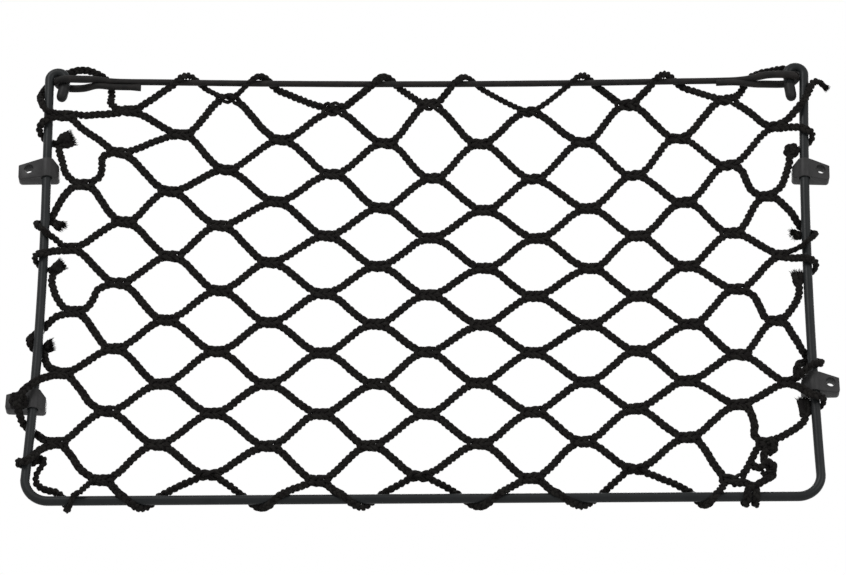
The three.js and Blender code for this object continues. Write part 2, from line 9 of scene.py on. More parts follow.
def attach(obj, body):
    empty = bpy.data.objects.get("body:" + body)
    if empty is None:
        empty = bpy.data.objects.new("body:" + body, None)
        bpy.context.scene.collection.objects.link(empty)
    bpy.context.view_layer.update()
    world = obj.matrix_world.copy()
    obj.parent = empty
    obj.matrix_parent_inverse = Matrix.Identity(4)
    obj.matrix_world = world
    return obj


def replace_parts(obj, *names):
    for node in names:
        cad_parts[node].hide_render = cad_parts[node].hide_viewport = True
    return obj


# Car door pocket net: knotless plaited cord laced to a bent, coated wire frame, with an elastic cord
# along the open top and four screw clips. Tables are in millimetres, and MM turns them into the frame's
# metres where a mesh is made. +X is to the right, +Z up, the open front faces -Y and the door is y = 0.

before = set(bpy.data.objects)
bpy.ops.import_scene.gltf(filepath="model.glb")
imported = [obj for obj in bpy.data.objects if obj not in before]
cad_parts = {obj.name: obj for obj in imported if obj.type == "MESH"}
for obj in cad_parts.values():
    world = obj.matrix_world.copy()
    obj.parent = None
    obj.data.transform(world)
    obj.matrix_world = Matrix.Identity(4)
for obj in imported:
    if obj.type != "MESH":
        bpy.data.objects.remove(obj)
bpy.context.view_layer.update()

MM = 0.001
SEED = 11
LEFT, RIGHT = -1, 1
FRONT = np.array([0.0, -1.0, 0.0])
UP = np.array([0.0, 0.0, 1.0])

# Driving dimensions
PLANE = -6.3                    # y of the wire's axis and of the net

WIRE = dict(
    bottom=-105.4,              # axis of the bottom wire
    radius=2.05,
    corner=10.0,                # bend radius of the bottom corners, on the axis
    hook=3.7,                   # bend radius of the hooks, on the axis
    bow_top=97.0,               # height where the side wires meet their hooks
    sides=28,
)
# The side wires bow inwards to a waist. Distances are from the middle of the part to the wire's axis.
# splay is how far a peg leans back to its side wire, and crown the height of the axis over the hook.
SIDES = {
    LEFT: dict(waist=165.4, waist_z=25, top_x=165.8, bottom_x=170.4, crown=100.7, peg_end=88.7, splay=1.7),
    RIGHT: dict(waist=165.6, waist_z=-15, top_x=168.5, bottom_x=167.2, crown=101.2, peg_end=86.9, splay=1.3),
}
# The rounded plastic tip on each peg: (height above the peg's foot, radius)
PEG_TIP = [
    (-2.35, 0.05), (-2.25, 0.8), (-1.95, 1.45), (-1.4, 1.95), (-0.6, 2.3), (0.3, 2.45),
    (4.8, 2.45), (5.5, 2.4), (5.85, 2.25), (6.0, 1.9),
]

ELASTIC = dict(
    radius=1.38,
    middle=93.9,                # height at the middle of the run
    rise=1.75,                  # how much higher it is at the reach
    lean=-0.65,                 # how much its right end hangs below the mean of both ends
    reach=138.0,                # x where it leaves the net plane for its loop
    loop=95.5,                  # height of the loop round a peg
    left_tail=125.2,            # x of the cut ends
    right_tail=129.3,
    tail_below={LEFT: 2.8, RIGHT: 2.2},     # how far a tail lies below the run
    tail_behind={LEFT: 0.0, RIGHT: -1.8},   # and behind it, or in front of it below 0
    clear=0.3,                  # between the cord and the peg that it goes round
    swollen=0.2,                # how much thicker the cord is round the pegs, as a share
    swollen_from=142.0,         # x where it starts to be thicker
    swollen_over=8.0,           # length over which it becomes so
    uneven=0.02,                # how much its thickness varies
    frayed=5.0,                 # length over which the left cut end opens
    fray_wider=0.35,            # how much wider and how much thinner it gets there
    fray_thinner=0.3,
    sides=20,
)

# One rope is a plait of three strands, each twisted from three plies.
PLAIT = dict(
    swing=0.98,                 # how far a strand swings to either side of the rope's axis
    bar_swing=1.85,             # the same in a bar, where two ropes are plaited into one
    depth=0.6,                  # how far it swings to the front and back
    wide=0.84,                  # half width of a strand
    thick=0.7,                  # half thickness of a strand
    pitch=7.2,                  # length of rope in which a strand comes back to the same side
    step=0.55,                  # length between the rings of a strand
    sides=9,
    plies=3,
    ply_relief=0.12,            # how far the plies stand out, as a share of the strand
    ply_pitch=5.0,              # length in which a ply winds once round its strand
    uneven=0.1,                 # how much a strand's size varies
    wander=0.2,                 # how unevenly a rope lies
)
BAR = dict(
    half=2.6,                   # half the length over which two ropes lie in one bar
    apart=0.9,                  # each rope's axis above or below the middle of its bar
    blend=2.8,                  # length over which a rope goes into a bar
)
# The fan that a cut end of rope opens into
FAN = dict(
    strand=4.4,                 # half widths of an opened strand in the width of the fan
    onset=1.8,                  # how soon the fan reaches its full width
    turning=0.1,                # how much the strands still go round in it
)
# The loose fibres at the end of each strand of a fan
FIBRE = dict(
    count=80,
    radius=0.085,
    length=2.0,
    start=0.5,                  # how far back in the strand they start
    curl=0.1,
    steps=3,
    sides=3,
)

CLIP = dict(
    inboard=5.3,                # from the wire's axis to the inner edge
    below=4.4,                  # from the clip's middle to its lower edge
    peak=4.6,                   # and to the crown over the wire
    shoulder=2.7,               # height of the outer upper corner
    inner_shoulder=1.6,
    crown=2.6,                  # how far the flat crown reaches to either side of the wire's axis
    corner=1.6,                 # radius of the lower corners
    outer_depth=5.4,            # thickness at the outer edge
    inner_depth=6.0,
    ramp_depth=8.15,            # thickness where the body meets the saddle
    saddle=2.95,                # outer radius of the saddle over the wire
    bore=2.3,                   # radius of the bore round the wire
    hole=2.0,                   # radius of the screw hole
    hole_up=0.3,
    edge=0.35,                  # rounding of the moulded edges
)
CLIPS = dict(
    clip_upper_left=dict(side=LEFT, z=52.5, outboard=12.6, hole_out=8.0),
    clip_upper_right=dict(side=RIGHT, z=50.1, outboard=11.1, hole_out=7.2),
    clip_lower_left=dict(side=LEFT, z=-58.7, outboard=12.0, hole_out=8.0),
    clip_lower_right=dict(side=RIGHT, z=-52.8, outboard=11.1, hole_out=7.2),
)

# The rows of knots, from the top down. Knots are a pitch apart, and their heights follow a shallow curve
# with its own middle, rise and bow. Where the hand lacing pulls knots out of that order, pulls says by
# how much sideways at each knot, and lifts by how much upwards.
ROWS = [
    dict(first=-129.3, pitch=43.8, middle=82, rise=0, bow=0.2,
         pulls=[-1, -1, 2, 0.5, 0.5, 0, 0], lifts=[-2.5, 4.5, -1.5, 1, -2.5, 0, 1]),
    dict(first=-106.3, pitch=43.8, middle=64, rise=-0.7, bow=0.6, pulls=[-0.5, -0.5, 1.5, -0.5, 1, -1]),
    dict(first=-131.7, pitch=44.6, middle=46.3, rise=-1.3, bow=1.1,
         pulls=[-2.5, 0, 2, 1.5, 1, 0.5, -2.5], lifts=[0.5, -1.5, 0.5, 0.5, 0, -0.5, 0]),
    dict(first=-110.2, pitch=45.1, middle=31.5, rise=-1.4, bow=1, pulls=[-1, 0, 1, 1, 1, -2]),
    dict(first=-132, pitch=44.7, middle=17.7, rise=-1.3, bow=0.6,
         pulls=[1, -2, 0, 0.5, 2, 1, -2.5], lifts=[-0.5, 1.5, -0.5, 0, 0, 0.5, 0]),
    dict(first=-110.7, pitch=45.1, middle=3.3, rise=-1.3, bow=0.5, pulls=[0.5, -1.5, 0, 1, 2, -1.5]),
    dict(first=-133.3, pitch=44.9, middle=-10.4, rise=-0.9, bow=0.5,
         pulls=[0.5, -0.5, -0.5, 0, 1, 1, -1.5], lifts=[0, -0.5, 0, 0.5, 0, -1, 0.5]),
    dict(first=-112.3, pitch=45.4, middle=-24.1, rise=-0.7, bow=0.2, pulls=[0.5, -0.5, 0, 0.5, 1, -0.5]),
    dict(first=-134.1, pitch=44.9, middle=-37.2, rise=-0.5, bow=0,
         pulls=[0.5, -0.5, 0, 0, 0.5, 0.5, -1], lifts=[1, 0, -0.5, 0, 0, 1, -0.5]),
    dict(first=-112.3, pitch=45, middle=-52, rise=0, bow=0.1, pulls=[-0.5, -0.5, 1, 0, 1, -1]),
    dict(first=-135.4, pitch=45, middle=-66.1, rise=0.2, bow=0.3, pulls=[-0.5, -0.5, 0.5, 0.5, 1, -0.5, -1]),
    dict(first=-113.3, pitch=45, middle=-80.7, rise=0.4, bow=0.3, pulls=[-1, 1, -0.5, 1, 0, -0.5]),
    dict(first=-136.3, pitch=44.7, middle=-94.9, rise=0, bow=0,
         pulls=[-1, -0.5, 1, -0.5, 2, 1, -2.5], lifts=[-1, 1, -2, 0, -1.5, 2.5, -2.5]),
]

# The knots at the two edges of every second row, by row and side. up and down are the places a rope
# passes on its way from there to the first knot of the row above or below, where it doesn't run straight.
EDGES = {
    (1, LEFT): dict(x=-158.8, z=78, in_front=2.2, up=[(-149, 79.3), (-143.5, 79.8), (-137, 80.1)],
                    down=[(-150.6, 72.4), (-147.2, 69.9), (-143.4, 67.4), (-140, 64.4)]),
    (3, LEFT): dict(x=-149.8, z=44.9, up=[(-144.5, 47), (-142, 49), (-141.3, 54.5), (-141.2, 58.4)]),
    (5, LEFT): dict(x=-154.5, z=13.6),
    (7, LEFT): dict(x=-151.9, z=-16.8, up=[(-146, -15), (-143.1, -10.4), (-141.6, -6.6)]),
    (9, LEFT): dict(x=-155.9, z=-46.1, down=[(-151.6, -48.9), (-147.6, -54), (-143.2, -60)]),
    (11, LEFT): dict(x=-157.3, z=-78.6, down=[(-153.4, -81), (-149.9, -85.8), (-146.2, -91.2)]),
    (1, RIGHT): dict(x=155.8, z=71.5, up=[(149.7, 73), (147, 75.6), (144, 78.5), (141, 81)]),
    (3, RIGHT): dict(x=150.2, z=37, up=[(144, 39.2), (141.1, 44), (139.3, 49.4)]),
    (5, RIGHT): dict(x=155.7, z=8.2),
    (7, RIGHT): dict(x=151.8, z=-23.2, up=[(146.4, -21.6), (144.3, -16.5), (141.4, -10.9)]),
    (9, RIGHT): dict(x=155.7, z=-52.3),
    (11, RIGHT): dict(x=145.4, z=-80.6, up=[(139.4, -77.2), (139.9, -72.5), (138, -65.6)],
                      down=[(140.2, -84), (137.7, -88.8), (134.6, -94)]),
}

# The x at which the top rope loops over the elastic, and the (front, back) x at which the bottom rope
# crosses the bottom wire.
TOP_LOOPS = [-103.2, -71.2, -16.2, 19.7, 71.5, 108.3]
BOTTOM_LAPS = [(-130, -113.5), (-59, -77), (-38, -20), (33, 14), (53, 74), (124, 112.5)]

random = np.random.default_rng(SEED)


# ---------------------------------------------------------------- routes

def at(x, z, in_front=0.0):
    """A point of the net, in its plane or the given distance in front of it."""
    return np.array([x, PLANE - in_front, z], float)


def lerp(a, b, t):
    return a + (b - a) * t


def unit(v):
    return v / np.linalg.norm(v, axis=-1, keepdims=True)


def catmull_rom(guides, samples):
    """A centripetal curve through the guides, with the same number of samples in each stretch."""
    ends = [2 * guides[0] - guides[1], 2 * guides[-1] - guides[-2]]
    points = np.vstack([ends[0], guides, ends[1]])
    gaps = np.sqrt(np.linalg.norm(np.diff(points, axis=0), axis=1))
    knots = np.concatenate([[0], np.cumsum(gaps)])
    out = []
    for i in range(1, len(points) - 2):
        p, k = points[i - 1:i + 3], knots[i - 1:i + 3]
        t = np.linspace(k[1], k[2], samples, endpoint=False)[:, None]
        a = [(k[j + 1] - t) / (k[j + 1] - k[j]) * p[j] + (t - k[j]) / (k[j + 1] - k[j]) * p[j + 1]
             for j in range(3)]
        b = [(k[j + 2] - t) / (k[j + 2] - k[j]) * a[j] + (t - k[j]) / (k[j + 2] - k[j]) * a[j + 1]
             for j in range(2)]
        out.append((k[2] - t) / (k[2] - k[1]) * b[0] + (t - k[1]) / (k[2] - k[1]) * b[1])
    out.append(points[-2:-1])
    return np.vstack(out)


def lengths_along(points):
    return np.concatenate([[0], np.cumsum(np.linalg.norm(np.diff(points, axis=0), axis=1))])


def smooth_path(guides, step, samples=14):
    """(even points along a smooth curve through the guides, their lengths along it, the guides' lengths)."""
    fine = catmull_rom(np.array(guides, float), samples)
    length = lengths_along(fine)
    along = np.linspace(0, length[-1], max(4, round(length[-1] / step)) + 1)
    points = np.stack([np.interp(along, length, fine[:, k]) for k in range(3)], axis=1)
    return points, along, length[::samples]


def travelling_axes(points, across):
    """(sideways axes, front axes) along a path, turned no more than the path itself turns."""
    tangents = unit(np.gradient(points, axis=0))
    side = np.empty_like(tangents)
    now = np.asarray(across, float)
    for i, tangent in enumerate(tangents):
        now = now - now.dot(tangent) * tangent
        now = now / np.linalg.norm(now)
        side[i] = now
    return side, np.cross(tangents, side)


# ---------------------------------------------------------------- meshes

class Tubes:
    """Closed tubes gathered for one mesh. Their UV map runs along a tube in millimetres and once round it."""

    def __init__(self):
        self.vertices, self.faces, self.corners, self.count = [], [], [], 0

    def add(self, rings, along):
        n, k = rings.shape[:2]
        index = self.count + np.arange(n * k).reshape(n, k)
        turned = np.roll(index, -1, axis=1)
        quads = np.stack([index[:-1], turned[:-1], turned[1:], index[1:]], axis=-1).reshape(-1, 4)
        low, high = np.meshgrid(along[:-1], np.arange(k) / k, indexing="ij")
        far = np.broadcast_to(along[1:, None], low.shape)
        next_high = high + 1 / k
        uv = np.stack([
            np.stack([low, high], -1), np.stack([low, next_high], -1),
            np.stack([far, next_high], -1), np.stack([far, high], -1),
        ], axis=2).reshape(-1, 2)
        self.vertices.append(rings.reshape(-1, 3))
        self.faces += quads.tolist()
        self.faces += [index[0][::-1].tolist(), index[-1].tolist()]
        self.corners.append(uv)
        self.corners.append(np.repeat([[along[0], 0.5], [along[-1], 0.5]], k, axis=0))
        self.count += n * k

    def make(self, name, material):
        mesh = bpy.data.meshes.new(name)
        mesh.from_pydata((np.vstack(self.vertices) * MM).tolist(), [], self.faces)
        layer = mesh.uv_layers.new(name="yarn")
        layer.data.foreach_set("uv", np.vstack(self.corners).astype(np.float32).ravel())
        mesh.polygons.foreach_set("use_smooth", [True] * len(mesh.polygons))
        return placed(bpy.data.objects.new(name, mesh), material)


def placed(obj, material):
    if obj.name not in bpy.context.scene.collection.objects:
        bpy.context.scene.collection.objects.link(obj)
    obj.data.materials.clear()
    obj.data.materials.append(material)
    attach(obj, "root")
    return obj


def rings_along(points, side, front, half_width, half_thickness, sides, relief=0.0, lobes=0, twist=0.0):
    """Rings round each point of a path. The half sizes are numbers or one value for each point. Lobes
    stand out by the relief, and twist is the angle by which they are turned at each point."""
    angle = np.arange(sides) / sides * 2 * np.pi
    turned = angle[None, :] - np.broadcast_to(twist, len(points))[:, None]
    swell = (1 + relief * np.cos(lobes * turned))[:, :, None]
    wide = np.broadcast_to(half_width, len(points))[:, None, None] * side[:, None]
    thick = np.broadcast_to(half_thickness, len(points))[:, None, None] * front[:, None]
    flat = wide * np.cos(angle)[None, :, None] + thick * np.sin(angle)[None, :, None]
    return points[:, None] + swell * flat


def rounded(radii, along, length):
    """Half sizes that close in at both ends of a tube, like a rounded tip."""
    edge = np.minimum(along - along[0], along[-1] - along)
    return radii * np.sqrt(np.clip(1 - (1 - np.clip(edge / length, 0, 1)) ** 2, 0.02, 1))


# ---------------------------------------------------------------- the plait

def waves(along):
    """Slow uneven waves along a rope, between about -1 and 1."""
    total = np.zeros_like(along)
    for length, share in ((41.0, 0.5), (17.0, 0.3), (8.5, 0.2)):
        total += share * np.sin(2 * np.pi * (along / length + random.random()))
    return total


def eased(t):
    t = np.clip(t, 0, 1)
    return t ** 2 * (3 - 2 * t)


def turns_along(along, rate, middles, below):
    """How often the strands have gone round, with one of them at the same place in the middle of every
    bar. The lower rope of a bar is a sixth of a turn on, so that its strands lie between the other's."""
    turns = np.concatenate([[0], np.cumsum((rate[1:] + rate[:-1]) / 2 * np.diff(along))])
    if not len(middles):
        return turns
    natural = np.interp(middles, along, turns)
    wanted = np.round(natural * 3) / 3 + np.where(below, 1 / 6, 0)
    return turns + np.interp(along, middles, wanted - natural)


def plait(tubes, fibres, guides, bars=(), above=(), across=None, end=None):
    """Three plaited strands along a route. bars are the guides at the middle of a bar, and above says on
    which side of it this rope lies. end is the (length, width) over which a cut end fans out. The area
    given back is that of the strands laid flat."""
    points, along, guide_at = smooth_path(guides, PLAIT["step"])
    across = np.cross(points[1] - points[0], -FRONT) if across is None else across
    side, front = travelling_axes(points, across)
    points = points + PLAIT["wander"] * waves(along)[:, None] * side

    fused = np.zeros_like(along)
    middle = np.zeros_like(along)
    middles = guide_at[list(bars)] if len(bars) else np.array([])
    if len(bars):
        nearest = np.abs(along[:, None] - middles[None]).argmin(axis=1)
        away = np.abs(along - middles[nearest])
        fused = eased((BAR["half"] + BAR["blend"] - away) / BAR["blend"])
        middle = -fused * np.array(above, float)[nearest] * BAR["apart"]
    length, width = end or (1.0, 0.0)
    reached = FAN["onset"] * (1 - (along[-1] - along) / length)
    opened = eased(reached) if end else np.zeros_like(along)

    rate = (1 - 0.5 * fused) * (1 - (1 - FAN["turning"]) * opened) / PLAIT["pitch"]
    phase = 2 * np.pi * turns_along(along, rate, middles, np.array(above) < 0)
    swing = lerp(PLAIT["swing"], PLAIT["bar_swing"], fused)
    half_strand = max(PLAIT["wide"], width / FAN["strand"])
    swing = lerp(swing, width / 2 - half_strand, opened)
    area = 0.0
    for strand in range(3):
        turn = phase + strand * 2 * np.pi / 3
        sway = middle + swing * np.sin(turn)
        path = points + sway[:, None] * side + (PLAIT["depth"] * np.sin(2 * turn))[:, None] * front
        own = unit(np.gradient(path, axis=0))
        out = unit(front - (front * own).sum(1, keepdims=True) * own)
        size = (1 + PLAIT["uneven"] * waves(along)) * lerp(1, half_strand / PLAIT["wide"], opened)
        wide, thick = PLAIT["wide"] * size, PLAIT["thick"] * size
        if not end:
            wide, thick = rounded(wide, along, PLAIT["wide"]), rounded(thick, along, PLAIT["wide"])
        twist = 2 * np.pi * (along / PLAIT["ply_pitch"] + random.random())
        rings = rings_along(path, np.cross(out, own), out, wide, thick, PLAIT["sides"],
                            PLAIT["ply_relief"], PLAIT["plies"], twist)
        tubes.add(rings, along)
        area += lengths_along(path)[-1] * 2 * PLAIT["wide"]
        if end:
            tuft(fibres, path[-1], own[-1], wide[-1])
    return area * MM ** 2


def tuft(fibres, place, direction, radius):
    """The loose fibres at the cut end of a strand."""
    a = unit(np.cross(direction, [0.31, 0.44, 0.84]))
    b = np.cross(direction, a)
    steps = FIBRE["steps"]
    for _ in range(FIBRE["count"]):
        spin, off = random.random() * 2 * np.pi, radius * 0.9 * math.sqrt(random.random())
        outward = a * math.cos(spin) + b * math.sin(spin)
        lean = outward * (0.15 + 0.5 * random.random() * off / radius) + random.normal(0, FIBRE["curl"], 3)
        length = FIBRE["length"] * (0.45 + 0.55 * random.random())
        t = np.linspace(0, 1, steps + 1)[:, None]
        path = place - direction * FIBRE["start"] + outward * off + length * (direction * t + lean * t ** 1.6)
        side, front = travelling_axes(path, a)
        radii = FIBRE["radius"] * np.linspace(1, 0.6, steps + 1)
        rings = rings_along(path, side, front, radii, radii, FIBRE["sides"])
        fibres.add(rings, np.linspace(0, length, steps + 1))


# ---------------------------------------------------------------- the netting

def edge_knot(row, column):
    """The facts of the knot at column 0 or 7 of a row that has one there."""
    return EDGES.get((row, {0: LEFT, 7: RIGHT}.get(column)))


def knot(row, column):
    """(x, z, distance in front, tilt) of a knot."""
    edge = edge_knot(row, column)
    if edge:
        return edge["x"], edge["z"], edge.get("in_front", 0), 0.0
    facts = ROWS[row]
    step = column - 1 - (len(facts["pulls"]) - 1) / 2
    lift = facts["lifts"][column - 1] if "lifts" in facts else 0
    z = facts["middle"] + facts["rise"] * step + facts["bow"] * step * step + lift
    x = facts["first"] + facts["pitch"] * (column - 1) + facts["pulls"][column - 1]
    return x, z, 0, (facts["rise"] + 2 * facts["bow"] * step) / facts["pitch"]


def bar_guides(row, column, above):
    """The start, middle and end of a rope's way through a knot."""
    x, z, in_front, tilt = knot(row, column)
    return [at(x + shift, z + above * BAR["apart"] + tilt * shift, in_front)
            for shift in (-BAR["half"], 0, BAR["half"])]


def slope_between(start, end):
    """Guides between two bars: a rope leaves a bar level and is steepest half way."""
    guides = []
    for t in (0.2, 0.5, 0.8):
        guide = lerp(start, end, t)
        guide[2] = lerp(start[2], end[2], t - 0.45 * math.sin(2 * math.pi * t) / (2 * math.pi))
        guides.append(guide)
    return guides


def inner_rope(upper_row):
    """(guides, indices of the bar middles, side of each bar) of a rope between two rows of knots."""
    lower_row = upper_row + 1
    edge_row, way = (upper_row, "down") if edge_knot(upper_row, 0) else (lower_row, "up")
    plain_row = lower_row if edge_row == upper_row else upper_row
    knots = []
    for column in range(8):
        if column > 0:
            knots.append((plain_row, column))
        knots.append((edge_row, column))
    passed = {0: edge_knot(edge_row, 0).get(way), len(knots) - 2: edge_knot(edge_row, 7).get(way)}
    guides, bars, above = [], [], []
    for i, (row, column) in enumerate(knots):
        above.append(1 if row == lower_row else -1)
        stretch = bar_guides(row, column, above[-1])
        if i:
            places = passed.get(i - 1)
            if places:
                guides += [at(x, z) for x, z in (places if i == 1 else places[::-1])]
            else:
                guides += slope_between(guides[-1], stretch[0])
        bars.append(len(guides) + 1)
        guides += stretch
    return guides, bars, above


def wire_x(side, z):
    """x of a side wire's axis at a height."""
    facts = SIDES[side]
    above = z > facts["waist_z"]
    end = facts["top_x"] if above else facts["bottom_x"]
    reach = (WIRE["bow_top"] if above else WIRE["bottom"]) - facts["waist_z"]
    return side * (facts["waist"] + (end - facts["waist"]) * ((z - facts["waist_z"]) / reach) ** 2)


def wire_lean(side, z):
    """The angle by which a side wire leans out of the upright, positive towards +X at its top."""
    return math.atan(wire_x(side, z + 0.5) - wire_x(side, z - 0.5))


def lap(centre, out, radius, start, end):
    """Part of a turn round a wire. Angle 0 is in front, and 180 behind. centre(t) gives the wire's axis, and
    out is the direction of angle 90."""
    steps = math.ceil(abs(end - start) / 30)
    points = []
    for i in range(steps + 1):
        angle = math.radians(lerp(start, end, i / steps))
        points.append(centre(i / steps) + radius * (math.sin(angle) * out + math.cos(angle) * FRONT))
    return points


ROPE_OVER = 1.75                # from a wire's surface to the axis of a rope that laps it
PULLED_OVER = 1.35              # the same where a rope is pulled tight round the bottom wire


def side_lap(side, *marks):
    """A rope's turn round a side wire, from (angle, height) to (angle, height)."""
    points = []
    for (start, z_start), (end, z_end) in zip(marks, marks[1:]):
        def centre(t):
            z = lerp(z_start, z_end, t)
            return at(wire_x(side, z), z)
        turn = lap(centre, np.array([side, 0, 0]), WIRE["radius"] + ROPE_OVER, start, end)
        points += turn[1:] if points else turn
    return points


def bottom_lap(x_from, x_to, start, end):
    radius = WIRE["radius"] + PULLED_OVER
    return lap(lambda t: at(lerp(x_from, x_to, t), WIRE["bottom"]), -UP, radius, start, end)


def elastic_height(x):
    part = x / ELASTIC["reach"]
    return ELASTIC["middle"] + ELASTIC["rise"] * part ** 2 + ELASTIC["lean"] * part


def top_loop(x, spread=6.5):
    def centre(t):
        along = lerp(x - spread, x + spread, t)
        return at(along, elastic_height(along))
    return lap(centre, UP, ELASTIC["radius"] + ROPE_OVER, -30, 210)


def bottom_turn(front, back):
    if front < back:
        return bottom_lap(front, back, -45, 225)
    return bottom_lap(back, front, 225, -45)


def laced_rope(row, above, turns):
    """A border rope from knot to knot of a row, with a turn round the elastic or wire between two knots."""
    guides = bar_guides(row, 1, above)
    bars = [1]
    for i, turn in enumerate(turns):
        guides += turn
        bars.append(len(guides) + 1)
        guides += bar_guides(row, i + 2, above)
    return guides, bars, [above] * len(bars)


